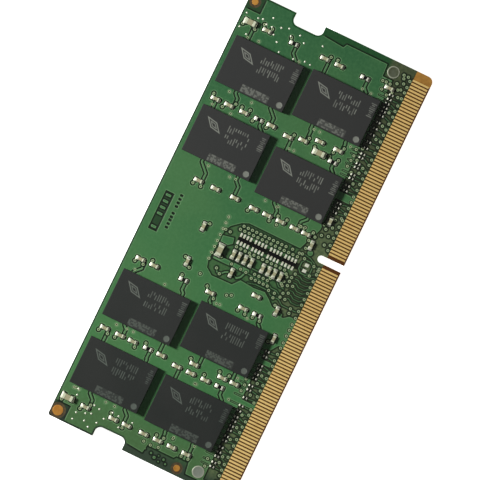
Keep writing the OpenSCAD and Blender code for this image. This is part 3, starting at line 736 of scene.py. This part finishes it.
tone = mask.mix(on_copper, over_laminate, over_copper)
# Painted highlight: a pale line along the inside of every copper edge, kept off the board's rim.
copper_edge_highlight = mask.math("MULTIPLY", mask.remap(edge, 0.0, 0.05), mask.remap(edge, 0.16, 0.08))
off_rim = mask.remap(mask.attribute("rim"), 0.3, 0.6)
copper_edge_highlight = mask.math("MULTIPLY", copper_edge_highlight, off_rim)
tone = mask.mix(mask.math("MULTIPLY", copper_edge_highlight, 0.5), tone, paint(112, 150, 104))
# Painted shade: a near-black line in the gap just outside every copper edge, kept off the board's rim.
copper_edge_shade = mask.math("MULTIPLY", mask.remap(edge, 0.06, -0.04), mask.remap(edge, -0.3, -0.12))
copper_edge_shade = mask.math("MULTIPLY", copper_edge_shade, off_rim)
tone = mask.mix(mask.math("MULTIPLY", copper_edge_shade, 0.9), tone, paint(4, 16, 4))
# Painted highlight: a pale ring on the raised mask round each covered hole.
tone = mask.mix(mask.remap(mask.attribute("ring"), 0.02, 0.09, 0.0, 0.85), tone, paint(178, 190, 148))
# Dark over each covered hole: partly the hole's own darkness, partly painted shade in the mask's dip over
# it.
tone = mask.mix(mask.remap(mask.attribute("hole"), -0.05, 0.02), tone, paint(12, 34, 12))
tone = mask.mix(mask.remap(mask.attribute("bare"), -0.04, 0.04), tone,
                mask.mix(mask.remap(grain, 0.3, 0.7), paint(84, 72, 48), paint(66, 54, 36)))
mask.colour(tone)
mask.roughness(mask.remap(grain, 0.2, 0.8, 0.36, 0.48))
mask.bump(mask.noise(3.0, 3.0), 0.01, 0.25)


def open_round_marks(e):
    """Openings in the mask: a disc round each sighting mark."""
    low, high = solids("copper_marks")
    for a, b in zip(low, high):
        e.open_mask((a[0] + b[0]) / 2, (a[1] + b[1]) / 2, (b[0] - a[0]) / 2 + 0.4)


front_etching = Etching(0.1)
etch_front(front_etching)
etch_window(front_etching)
etch_package_tracks(front_etching)
etch_fan_out(front_etching)
etch_centre(front_etching)
etch_holes(front_etching)
etch_parts(front_etching, "front", 1)
open_round_marks(front_etching)
for name, x_from, x_to in (("solder_mask_front_left_half", board_low.x, 0.0),
                           ("solder_mask_front_right_half", 0.0, board_high.x)):
    piece = mask_piece(name, front_etching, 1, x_from, x_to, mask.material)
    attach(piece, "root")
    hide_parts("solder_mask_front")

back_etching = Etching(0.2)
etch_parts(back_etching, "back", -1)
piece = mask_piece("solder_mask_back_face", back_etching, -1, board_low.x, board_high.x, mask.material)
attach(piece, "root")
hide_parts("solder_mask_back")


# ------------------------------------------------- rounded blocks, many at once
# Capacitors, resistors, lands and contacts are all small blocks with soft edges.

def stack_faces(copies, rings, spots):
    """Faces of copies of a stack of rings: four-sided ones between neighbouring rings, and
    a flat cap on the first and on the last ring."""
    i, j = np.meshgrid(np.arange(rings - 1), np.arange(spots), indexing="ij")
    k = (j + 1) % spots
    wall = np.stack([i * spots + j, i * spots + k, (i + 1) * spots + k, (i + 1) * spots + j], -1)
    wall = wall.reshape(-1, 4)
    caps = [np.arange(spots)[::-1], (rings - 1) * spots + np.arange(spots)]
    faces = []
    for start in np.arange(copies) * rings * spots:
        faces += (wall + start).tolist() + [(cap + start).tolist() for cap in caps]
    return faces


def rounded_blocks(low, high, r, steps=2):
    """Blocks between low and high corners, with edges rounded by r. Each is a stack of rings
    round the block: a ring at the angle f stands r * sin(f) past the straight wall and
    r * cos(f) out from it, and the first and last rings are closed by a flat cap."""
    low, high = np.atleast_2d(low), np.atleast_2d(high)
    n = len(low)
    half, centre = (high - low) / 2, (high + low) / 2
    r = np.minimum(np.broadcast_to(r, (n,)), half.min(axis=1) * 0.98)[:, None, None]
    turn = np.linspace(0, np.pi / 2, steps + 1)
    around = np.concatenate([turn + k * np.pi / 2 for k in range(4)])
    sx = np.repeat([1, -1, -1, 1], steps + 1)
    sy = np.repeat([1, 1, -1, -1], steps + 1)
    rise = np.linspace(0, np.pi / 3, steps + 1)
    f = np.concatenate([-rise[::-1], rise])
    sz = np.repeat([-1, 1], steps + 1)
    out = r * np.cos(f)[None, :, None]
    x = centre[:, 0, None, None] + sx * (half[:, 0, None, None] - r) + out * np.cos(around)
    y = centre[:, 1, None, None] + sy * (half[:, 1, None, None] - r) + out * np.sin(around)
    up = r[..., 0] * np.sin(f) / np.sin(np.pi / 3) + sz * (half[:, 2, None] - r[..., 0])
    z = np.broadcast_to((centre[:, 2, None] + up)[..., None], x.shape)
    return np.stack([x, y, z], -1).reshape(-1, 3), stack_faces(n, len(f), len(around))


def block_piece(name, source, side, r, material):
    """Rounded blocks in the places of a CAD node's solids, which they stand for."""
    piece = make_piece(name, *rounded_blocks(*to_outward(*solids(source), side), r), side, material)
    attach(piece, "root")
    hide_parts(source)
    return piece


# ---------------------------------------------------------------- contacts
# Copper strips plated with nickel and hard gold, with slightly soft edges. Each strip
# differs a little in tone, and sockets leave faint wiping marks on them.

gold = Shader("contact_gold", roughness=0.4, metallic=0.5)
strips_per_mm = 2.0
per_strip = gold.add("ShaderNodeTexWhiteNoise", noise_dimensions="1D")
strip_number = gold.math("FLOOR", gold.math("MULTIPLY", gold.axis("X"), strips_per_mm / MM))
gold.join(strip_number, per_strip.inputs["W"])
gold_tone = gold.mix(gold.fade("X", -24, 6), paint(255, 222, 142), paint(238, 204, 126))
strip_tone = gold.math("MULTIPLY", per_strip.outputs["Value"], 0.5)
gold_tone = gold.mix(strip_tone, gold_tone, paint(236, 198, 120))
gold.colour(gold.mix(gold.remap(gold.noise(0.5), 0.5, 0.8, 0.0, 0.5), gold_tone, paint(226, 184, 104)))
gold.roughness(gold.remap(gold.noise(4.0), 0.3, 0.7, 0.36, 0.5))
gold.bump(gold.noise(9.0), 0.006, 0.3)
for face, side in (("front", 1), ("back", -1)):
    block_piece(f"contact_strips_{face}", f"contacts_{face}", side, 0.012, gold.material)


# --------------------------------------------------------------- solder lands
# Copper lands tinned with solder, under every small part. Two lands, where a part is not fitted, are bare on
# the module, but here they are tinned like the rest.

tin = Shader("solder", roughness=0.4, metallic=0.5)
tin.colour(tin.mix(tin.noise(1.5), paint(236, 238, 218), paint(214, 216, 196)))
tin.roughness(tin.remap(tin.noise(5.0), 0.3, 0.7, 0.34, 0.55))
tin.bump(tin.noise(6.0), 0.012, 0.4)


def land_piece(face, side):
    """The small solids of the outer copper are the lands. Solder stands a little above."""
    largest_land, solder = 1.0, 0.03
    low, high = to_outward(*solids(f"copper_{face}"), side)
    lands = (high - low)[:, :2].max(axis=1) < largest_land
    low, high = low[lands], high[lands]
    high[:, 2] += solder
    piece = make_piece(f"tinned_lands_{face}", *rounded_blocks(low, high, 0.05), side, tin.material)
    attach(piece, "root")
    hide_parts(f"copper_{face}")


land_piece("front", 1)
land_piece("back", -1)


# ------------------------------------------------------------ small capacitors
# Fired ceramic blocks, grey-brown, with matt tin-plated ends dipped over them, stood on
# their lands by a fillet of solder at each end.

ceramic = Shader("capacitor_ceramic", roughness=0.5, specular=0.45)
ceramic.mottled(0.35, (150, 154, 118), (166, 156, 124), 14.0, 0.008, 0.4)
tin_plate = Shader("tin_plate", roughness=0.55, metallic=0.3, specular=0.3)
tin_plate.mottled(1.2, (214, 220, 190), (196, 200, 172), 10.0, 0.012, 0.5)
black_glass = Shader("resistor_glass", roughness=0.45, specular=0.12)
black_glass.mottled(2.0, (10, 10, 10), (18, 18, 18), 8.0, 0.006, 0.3)

for face, side in (("front", 1), ("back", -1)):
    block_piece(f"ceramic_blocks_{face}", f"capacitor_bodies_{face}", side, 0.03,
                ceramic.material)
    block_piece(f"capacitor_caps_{face}", f"capacitor_ends_{face}", side, 0.07,
                tin_plate.material)
    block_piece(f"resistor_blocks_{face}", f"resistor_bodies_{face}", side, 0.03,
                black_glass.material)
    block_piece(f"resistor_caps_{face}", f"resistor_ends_{face}", side, 0.05,
                tin.material)


# ------------------------------------------------------------- solder fillets
# Solder climbs the outer face of each metal end and runs out over the land.

def fillets(low, high, way, reach):
    """Solder wedges beside blocks. The height falls from the block to the land as
    (1 - t) ** 2.2. The solder spreads a little wider than the end, most midway along its run, and its two
    sides stand lower."""
    steps = np.linspace(0, 1, 5)
    fall = (1 - steps) ** 2.2
    centre, half = (low + high) / 2, (high - low) / 2
    along_y = np.abs(way[:, 1]) > 0.5
    half_w = np.where(along_y, half[:, 0], half[:, 1])
    start = np.where(along_y, half[:, 1], half[:, 0])
    top = (high[:, 2] - low[:, 2]) * 0.6
    t = (start[:, None] - 0.03) + reach[:, None] * steps
    z = low[:, 2, None] + top[:, None] * fall + 0.015
    w = half_w[:, None] * (1.02 + 0.3 * np.sin(np.pi * (0.15 + 0.75 * steps)))
    rows = []
    for share, drop in ((-1, 1), (-0.8, 0), (0, 0), (0.8, 0), (1, 1)):
        level = low[:, 2, None] + (z - low[:, 2, None]) * (0.35 if drop else 1.0)
        rows.append(np.stack([t, w * share, level], -1))
    upper = np.stack(rows, 2)
    lower = upper.copy()
    lower[..., 2] = low[:, 2, None, None]
    grid = np.concatenate([upper, lower[:, :, ::-1]], 2)
    along = np.where(along_y[:, None], way * [[0, 1]], way * [[1, 0]])
    across = np.stack([-along[:, 1], along[:, 0]], 1)
    flat = (grid[..., 0:1] * along[:, None, None, :] + grid[..., 1:2] * across[:, None, None, :]
            + centre[:, None, None, :2])
    return np.concatenate([flat, grid[..., 2:3]], -1).reshape(-1, 3), stack_faces(*grid.shape[:3])


def fillet_piece(face, side):
    low, high, way = small_parts(face, side)
    size = (high - low)[:, :2].max(axis=1)
    reach = np.where(size > 0.4, 0.3, 0.1)
    piece = make_piece(f"solder_fillets_{face}", *fillets(low, high, way, reach), side, tin.material)
    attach(piece, "root")


fillet_piece("front", 1)
fillet_piece("back", -1)


# ------------------------------------------------------------ resistor arrays
# Four resistors in one black block, with four tinned leads on each long side.

block_piece("array_blocks", "array_bodies", 1, 0.03, black_glass.material)
block_piece("array_caps", "array_leads", 1, 0.04, tin_plate.material)


# ------------------------------------------------------------ memory packages
# Black epoxy moulded over the silicon and sawn to size, so the edges are sharp. A laser
# greys the surface: a corner dot, plain bars and a plain diamond, and a grid of specks.

mould = Shader("mould_compound", roughness=0.5, specular=0.25)
speck = mould.noise(9.0, 5.0)
# Painted sheen: the mould and its laser marks are made lighter towards +X, where the lamps' sheen falls
# more.
sheen_towards_x = mould.fade("X", -26, 14)
mould_tone = mould.mix(sheen_towards_x, paint(34, 38, 35), paint(46, 47, 46))
haze = mould.remap(mould.noise(0.12, 2.0), 0.3, 0.7, 0.0, 0.3)
mould_tone = mould.mix(haze, mould_tone, paint(50, 50, 48))
mould_tone = mould.mix(mould.remap(speck, 0.45, 0.75, 0.0, 0.25), mould_tone, paint(64, 66, 64))
mould_tone = mould.mix(mould.math("MULTIPLY", mould.attribute("mark"), 0.9), mould_tone,
                       mould.mix(sheen_towards_x, paint(112, 122, 112), paint(162, 166, 154)))
mould.colour(mould_tone)
mould.roughness(mould.remap(speck, 0.3, 0.7, 0.42, 0.6))
mould.bump(mould.noise(16.0, 4.0), 0.008, 0.5)


corner_dot = (-2.95, -4.68, 0.46)
diamond_at, diamond_tilt = (1.55, 2.75), math.radians(-31)


def soft(inside, blur=0.05):
    """1 inside a shape and 0 outside it, with a short ramp across its edge."""
    return np.clip(inside / blur + 0.5, 0, 1)


def laser_marks(x, y, order):
    """How strongly the laser has greyed each point of a package's top, from 0 to 1. x and y
    are measured from the package's centre."""
    mark = 0.55 * soft(in_disc(x, y, *corner_dot))
    dx, dy = x - diamond_at[0], y - diamond_at[1]
    u = dx * math.cos(diamond_tilt) + dy * math.sin(diamond_tilt)
    v = -dx * math.sin(diamond_tilt) + dy * math.cos(diamond_tilt)
    diamond = (1.0 - np.abs(u) / 0.6 - np.abs(v) / 1.6) * 0.56
    mark = np.maximum(mark, 0.6 * soft(0.07 - np.abs(diamond - 0.07)))
    mark = np.maximum(mark, 0.6 * soft(0.05 - np.abs(diamond - 0.33)))
    pick = np.random.default_rng(20 + order)
    for cx, cell_w, cells in ((0.52, 1.1, 5), (1.98, 1.05, 5)):
        for k in range(cells):
            cy = -2.65 + 0.74 * k
            for line in (-0.17, 0.17):
                reach = cell_w * pick.choice((0.45, 0.7, 1.0))
                bar = in_box(x, y, cx + (cell_w - reach) / 2 * pick.choice((-1, 1)), cy + line,
                             reach / 2, 0.06)
                mark = np.maximum(mark, pick.uniform(0.35, 0.6) * soft(bar))
    for k in range(4):
        cx = 1.05 + 0.58 * k
        for line in (-0.13, 0.13):
            reach = 0.85 * pick.choice((0.5, 0.75, 1.0))
            bar = in_box(x, y, cx + line, -4.87, 0.055, reach / 2)
            mark = np.maximum(mark, pick.uniform(0.3, 0.55) * soft(bar))
    cell, rows, columns = 0.22, 20, 5
    code = pick.uniform(size=(rows, columns)) < 0.5
    i = np.floor((y + 2.9) / cell).astype(int)
    j = np.floor((x + 3.55) / cell).astype(int)
    in_code = (i >= 0) & (i < rows) & (j >= 0) & (j < columns)
    lit = code[np.clip(i, 0, rows - 1), np.clip(j, 0, columns - 1)] & in_code
    return np.maximum(mark, np.where(lit, 0.24, 0.0) + np.where(in_code, 0.1, 0.0))


def package_piece(face, side, order):
    """The moulded block as one grid: its two outer rings of points are the foot and the top
    of the walls, a third ring in from them is past the chamfer, and the rest is the top."""
    low, high = packages[face, order]
    centre, half = (low + high) / 2, (high - low) / 2
    top = side * ((high.z if side > 0 else low.z) - middle)
    foot = side * ((low.z if side > 0 else high.z) - middle)
    chamfer, step = 0.04, 0.065 if side > 0 else 0.13

    def spaced(h):
        inner = np.linspace(-h + chamfer, h - chamfer, round(2 * h / step))
        return np.concatenate([[-h, -h], inner, [h, h]])

    xs, ys = spaced(half.x), spaced(half.y)
    x, y = np.meshgrid(xs, ys)
    rows, columns = x.shape
    j, i = np.meshgrid(np.arange(columns), np.arange(rows))
    level = np.minimum(np.minimum(i, rows - 1 - i), np.minimum(j, columns - 1 - j))
    z = np.where(level == 0, foot, np.where(level == 1, top - chamfer, top))
    mark = np.where(level > 1, laser_marks(x, y, order + (0 if side > 0 else 8)), 0.0)
    dot = np.clip(in_disc(x, y, *corner_dot) / 0.1, 0, 1)
    z = z - 0.02 * dot * (level > 1)
    points = np.stack([x + centre.x, y + centre.y, z], -1).reshape(-1, 3)
    a = (np.arange(rows - 1)[:, None] * columns + np.arange(columns - 1)[None, :]).ravel()
    quads = np.stack([a, a + 1, a + columns + 1, a + columns], 1)
    corner_quad = np.isin(a, [0, columns - 2, (rows - 2) * columns, (rows - 2) * columns + columns - 2])
    ring = np.concatenate([np.arange(1, columns - 1), np.arange(2, rows - 2) * columns + columns - 1,
                           (rows - 1) * columns + np.arange(columns - 2, 0, -1),
                           np.arange(rows - 3, 1, -1) * columns])
    faces = quads[~corner_quad].tolist() + [ring[::-1].tolist()]
    piece = make_piece(f"package_{face}_{order}", points, faces, side, mould.material,
                       smooth=False, mark=mark.ravel())
    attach(piece, "root")
    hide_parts(f"memory_chip_{face}_{order}")


for face, side in (("front", 1), ("back", -1)):
    for order in range(1, 9):
        package_piece(face, side, order)


# ------------------------------------------------ inside and under the packages
# Each package has its own thin green board, whose sawn edge shows as a line under the
# mould. Silicon, film, resin and wires are closed in.

package_board = Shader("package_board", roughness=0.5)
package_board.mottled(1.0, (38, 52, 30), (58, 66, 38), 8.0, 0.01, 0.4)
silicon = Shader("silicon", roughness=0.18, metallic=0.6)
silicon.mottled(0.5, (120, 124, 132), (96, 100, 112), 20.0, 0.002, 0.2)
film = Shader("adhesive_film", roughness=0.4)
film.mottled(1.0, (196, 168, 104), (176, 150, 92), 9.0, 0.004, 0.3)
resin = Shader("bond_resin", roughness=0.25)
resin.mottled(1.0, (22, 22, 22), (34, 34, 34), 5.0, 0.01, 0.3)
wire = Shader("bond_wire", roughness=0.2, metallic=1.0)
wire.mottled(3.0, (236, 196, 110), (220, 176, 92), 20.0, 0.002, 0.2)
for face in ("front", "back"):
    nodes[f"package_substrates_{face}"].data.materials[0] = package_board.material
    nodes[f"silicon_dies_{face}"].data.materials[0] = silicon.material
nodes["die_films"].data.materials[0] = film.material
nodes["bond_resin"].data.materials[0] = resin.material
nodes["bond_wires"].data.materials[0] = wire.material


# -------------------------------------------------------------- solder balls
# Balls of tin solder, reflowed: flat on both lands and round between them.

def turned_pieces(centres, profile, spots=10):
    """Copies of one turned shape: the profile's radius and height, carried round the z axis
    at each centre, with a flat cap at both ends."""
    r, z = np.array(profile).T
    angle = np.arange(spots) * 2 * np.pi / spots
    ring = np.stack([r[:, None] * np.cos(angle), r[:, None] * np.sin(angle),
                     np.broadcast_to(z[:, None], (len(r), spots))], -1).reshape(-1, 3)
    flat = np.column_stack([centres, np.zeros(len(centres))])
    points = (flat[:, None, :] + ring[None]).reshape(-1, 3)
    return points, stack_faces(len(centres), len(r), spots)


# Share of its radius at which a ball is cut flat
flat_at = 0.7
for face, side in (("front", 1), ("back", -1)):
    low, high = to_outward(*solids(f"solder_balls_{face}"), side)
    bottom, top = low[0, 2], high[0, 2]
    r = (high[0, 0] - low[0, 0]) / 2
    level = np.linspace(-1, 1, 5)
    profile = np.column_stack([r * np.sqrt(1 - (flat_at * level) ** 2),
                               (bottom + top) / 2 + level * (top - bottom) / 2])
    centres = ((low + high) / 2)[:, :2]
    piece = make_piece(f"reflowed_balls_{face}", *turned_pieces(centres, profile), side, tin.material)
    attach(piece, "root")
    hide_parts(f"solder_balls_{face}")


# ------------------------------------------------------------- plated barrels
# Copper plated through drilled holes, closed at both ends by the mask.

low, high = solids("via_barrels")
barrel_r = (high[0, 0] - low[0, 0]) / 2
reach = laminate_top + 0.012
profile = [(barrel_r * 0.9, -reach), (barrel_r, -reach + 0.02),
           (barrel_r, reach - 0.02), (barrel_r * 0.9, reach)]
centres = ((low + high) / 2)[:, :2]
piece = make_piece("plated_barrels", *turned_pieces(centres, profile), 1, foil.material)
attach(piece, "root")
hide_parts("via_barrels")


# ------------------------------------------------- sighting marks and test discs
# Three bare copper discs that a machine sights on, and two discs tinned for a test probe.
# The solder on those two stands in a low rim, and the right one is dull.

bare_copper = Shader("bare_copper", roughness=0.45, metallic=0.5)
bare_copper.colour(bare_copper.mix(bare_copper.remap(bare_copper.noise(1.1, 4.0), 0.35, 0.7),
                                   paint(202, 144, 62), paint(184, 124, 48)))
bare_copper.roughness(bare_copper.remap(bare_copper.noise(3.0), 0.3, 0.7, 0.3, 0.5))
bare_copper.bump(bare_copper.noise(7.0), 0.01, 0.4)
dull_tin = Shader("dull_tin", roughness=0.5, metallic=0.4)
flat_tone = dull_tin.mix(dull_tin.math("GREATER_THAN", dull_tin.axis("X"), 0.0),
                         paint(132, 139, 126), paint(74, 81, 56))
frost = dull_tin.remap(dull_tin.noise(0.8), 0.35, 0.65, 0.0, 0.15)
flat_tone = dull_tin.mix(frost, flat_tone, paint(150, 156, 142))
dull_tin.colour(dull_tin.mix(dull_tin.attribute("rim"), flat_tone, paint(178, 182, 160)))
dull_tin.bump(dull_tin.noise(6.0), 0.01, 0.4)
for node, material, slot, dome in (("copper_marks", bare_copper, "bare_copper", 0.0),
                                   ("tinned_discs", dull_tin, "tinned_metal", 0.03)):
    low, high = to_outward(*solids(node), 1)
    for number, (a, b) in enumerate(zip(low, high), 1):
        r, top = (b[0] - a[0]) / 2, b[2]
        profile = [(r, a[2]), (r, top - 0.01), (r * 0.97, top + dome * 0.7), (r * 0.9, top + dome),
                   (r * 0.8, top + dome), (r * 0.7, top + dome * 0.6), (r * 0.3, top + dome * 0.5)]
        piece = make_piece(f"{node}_{number}", *turned_pieces([(a + b)[:2] / 2], profile, 48), 1,
                           material.material)
        spots = np.empty(len(piece.data.vertices) * 3)
        piece.data.vertices.foreach_get("co", spots)
        away = np.hypot(*(spots.reshape(-1, 3)[:, :2] / MM - (a + b)[:2] / 2).T) / r
        add_attribute(piece.data, "rim", np.clip(1 - np.abs(away - 0.9) / 0.12, 0, 1))
        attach(piece, "root")
        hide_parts(node)


# --------------------------------------------------------- holes filled with solder
# Near both ends the plated holes are left open in the mask, so the solder bath has
# filled them and each shows as a small bright dome.

filled_holes = [
    (-33.8, 11.4), (-32.7, 11.3), (-32.25, 10.0), (-33.3, 9.7), (-33.9, 8.8), (-32.8, 7.9), (-31.9, 9.2),
    (-30.6, 9.3), (-30.8, 8.4), (-30.3, 12.3), (-29.4, 12.5), (-31.8, 7.2), (-30.4, 6.4), (-30.5, 5.4),
    (-32.0, 4.7), (-30.5, 3.1), (29.3, 14.4), (31.6, 14.3), (28.7, 13.0), (31.6, 12.4), (31.8, 11.7),
    (31.3, 10.9), (32.6, 10.4), (31.3, 10.0), (30.4, 9.3), (31.8, 8.7), (29.6, 8.4), (32.2, 7.6),
    (28.4, 7.5), (31.3, 6.9), (32.0, 5.7), (28.4, 5.1), (31.2, 4.7), (28.8, 3.4), (28.7, 2.5),
    (32.0, 2.0),
]
dome = [(0.17, -0.05), (0.16, 0.0), (0.12, 0.035), (0.06, 0.055), (0.01, 0.06)]
profile = [(r, mask_top + rise) for r, rise in dome]
piece = make_piece("filled_holes", *turned_pieces(np.array(filled_holes), profile, 14), 1, tin.material)
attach(piece, "root")


# ------------------------------------------------------------ settings memory
# A small black eight-lead package on the back face.

eeprom_mould = Shader("eeprom_mould", roughness=0.5)
eeprom_mould.mottled(1.0, (38, 38, 38), (50, 50, 50), 16.0, 0.008, 0.5)
block_piece("settings_memory", "eeprom_body", -1, 0.04, eeprom_mould.material)
block_piece("settings_memory_leads", "eeprom_leads", -1, 0.03, tin_plate.material)


# ------------------------------------------------------- floor, light and camera
# The module lies on a plain pale floor under soft light, and is seen from straight above.

floor_shader = Shader("floor", roughness=0.8, specular=0.1)
pale, paler = (0.92, 0.92, 0.92, 1), (0.94, 0.94, 0.94, 1)
floor_shader.colour(floor_shader.mix(floor_shader.noise(0.02), pale, paler))
floor_shader.surface.inputs["Emission Color"].default_value = (1, 1, 1, 1)
floor_shader.surface.inputs["Emission Strength"].default_value = 0.95
half_floor, below_part = 2, 0.00005
mesh = bpy.data.meshes.new("floor")
mesh.from_pydata([(x * half_floor, y * half_floor, 0) for x, y in ((-1, -1), (1, -1), (1, 1), (-1, 1))],
                 [], [(0, 1, 2, 3)])
mesh.materials.append(floor_shader.material)
floor = bpy.data.objects.new("floor", mesh)
floor.location.z = -below_part
bpy.context.scene.collection.objects.link(floor)
floor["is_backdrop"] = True

world = bpy.data.worlds.new("studio")
bpy.context.scene.world = world
world.use_nodes = True
background = world.node_tree.nodes["Background"]
background.inputs["Color"].default_value = (1, 1, 1, 1)
background.inputs["Strength"].default_value = 0.07


def lamp(name, azimuth, elevation, distance, size, power):
    """A square soft lamp that faces the module from an azimuth measured from +X."""
    a, e = math.radians(azimuth), math.radians(elevation)
    light = bpy.data.lights.new(name, "AREA")
    light.shape, light.size, light.energy = "SQUARE", size, power
    holder = bpy.data.objects.new(name, light)
    away = Vector((math.cos(a) * math.cos(e), math.sin(a) * math.cos(e), math.sin(e)))
    holder.location = away * distance
    holder.rotation_euler = (-holder.location).to_track_quat("-Z", "Y").to_euler()
    bpy.context.scene.collection.objects.link(holder)


lamp("key", azimuth=93, elevation=40, distance=0.3, size=0.05, power=1.2)
lamp("top", azimuth=0, elevation=88, distance=0.7, size=0.16, power=0.15)

turn = math.radians(64.2)
right = Vector((math.cos(turn), -math.sin(turn), 0))
up = Vector((math.sin(turn), math.cos(turn), 0))
frame_width = 0.0709
lens, sensor = 200.0, 36.0
to_left, to_top = 0.00015, 0.0010
aim = Vector((0, 0, cad_high.z)) - to_left * right + to_top * up
camera = bpy.data.cameras.new("camera")
camera.lens, camera.sensor_width = lens, sensor
camera.clip_start, camera.clip_end = 0.01, 10
holder = bpy.data.objects.new("camera", camera)
holder.location = aim + Vector((0, 0, frame_width * lens / sensor))
holder.rotation_euler = (0, 0, -turn)
bpy.context.scene.collection.objects.link(holder)
bpy.context.scene.camera = holder
bpy.context.scene.view_settings.view_transform = "Standard"

low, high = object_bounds()
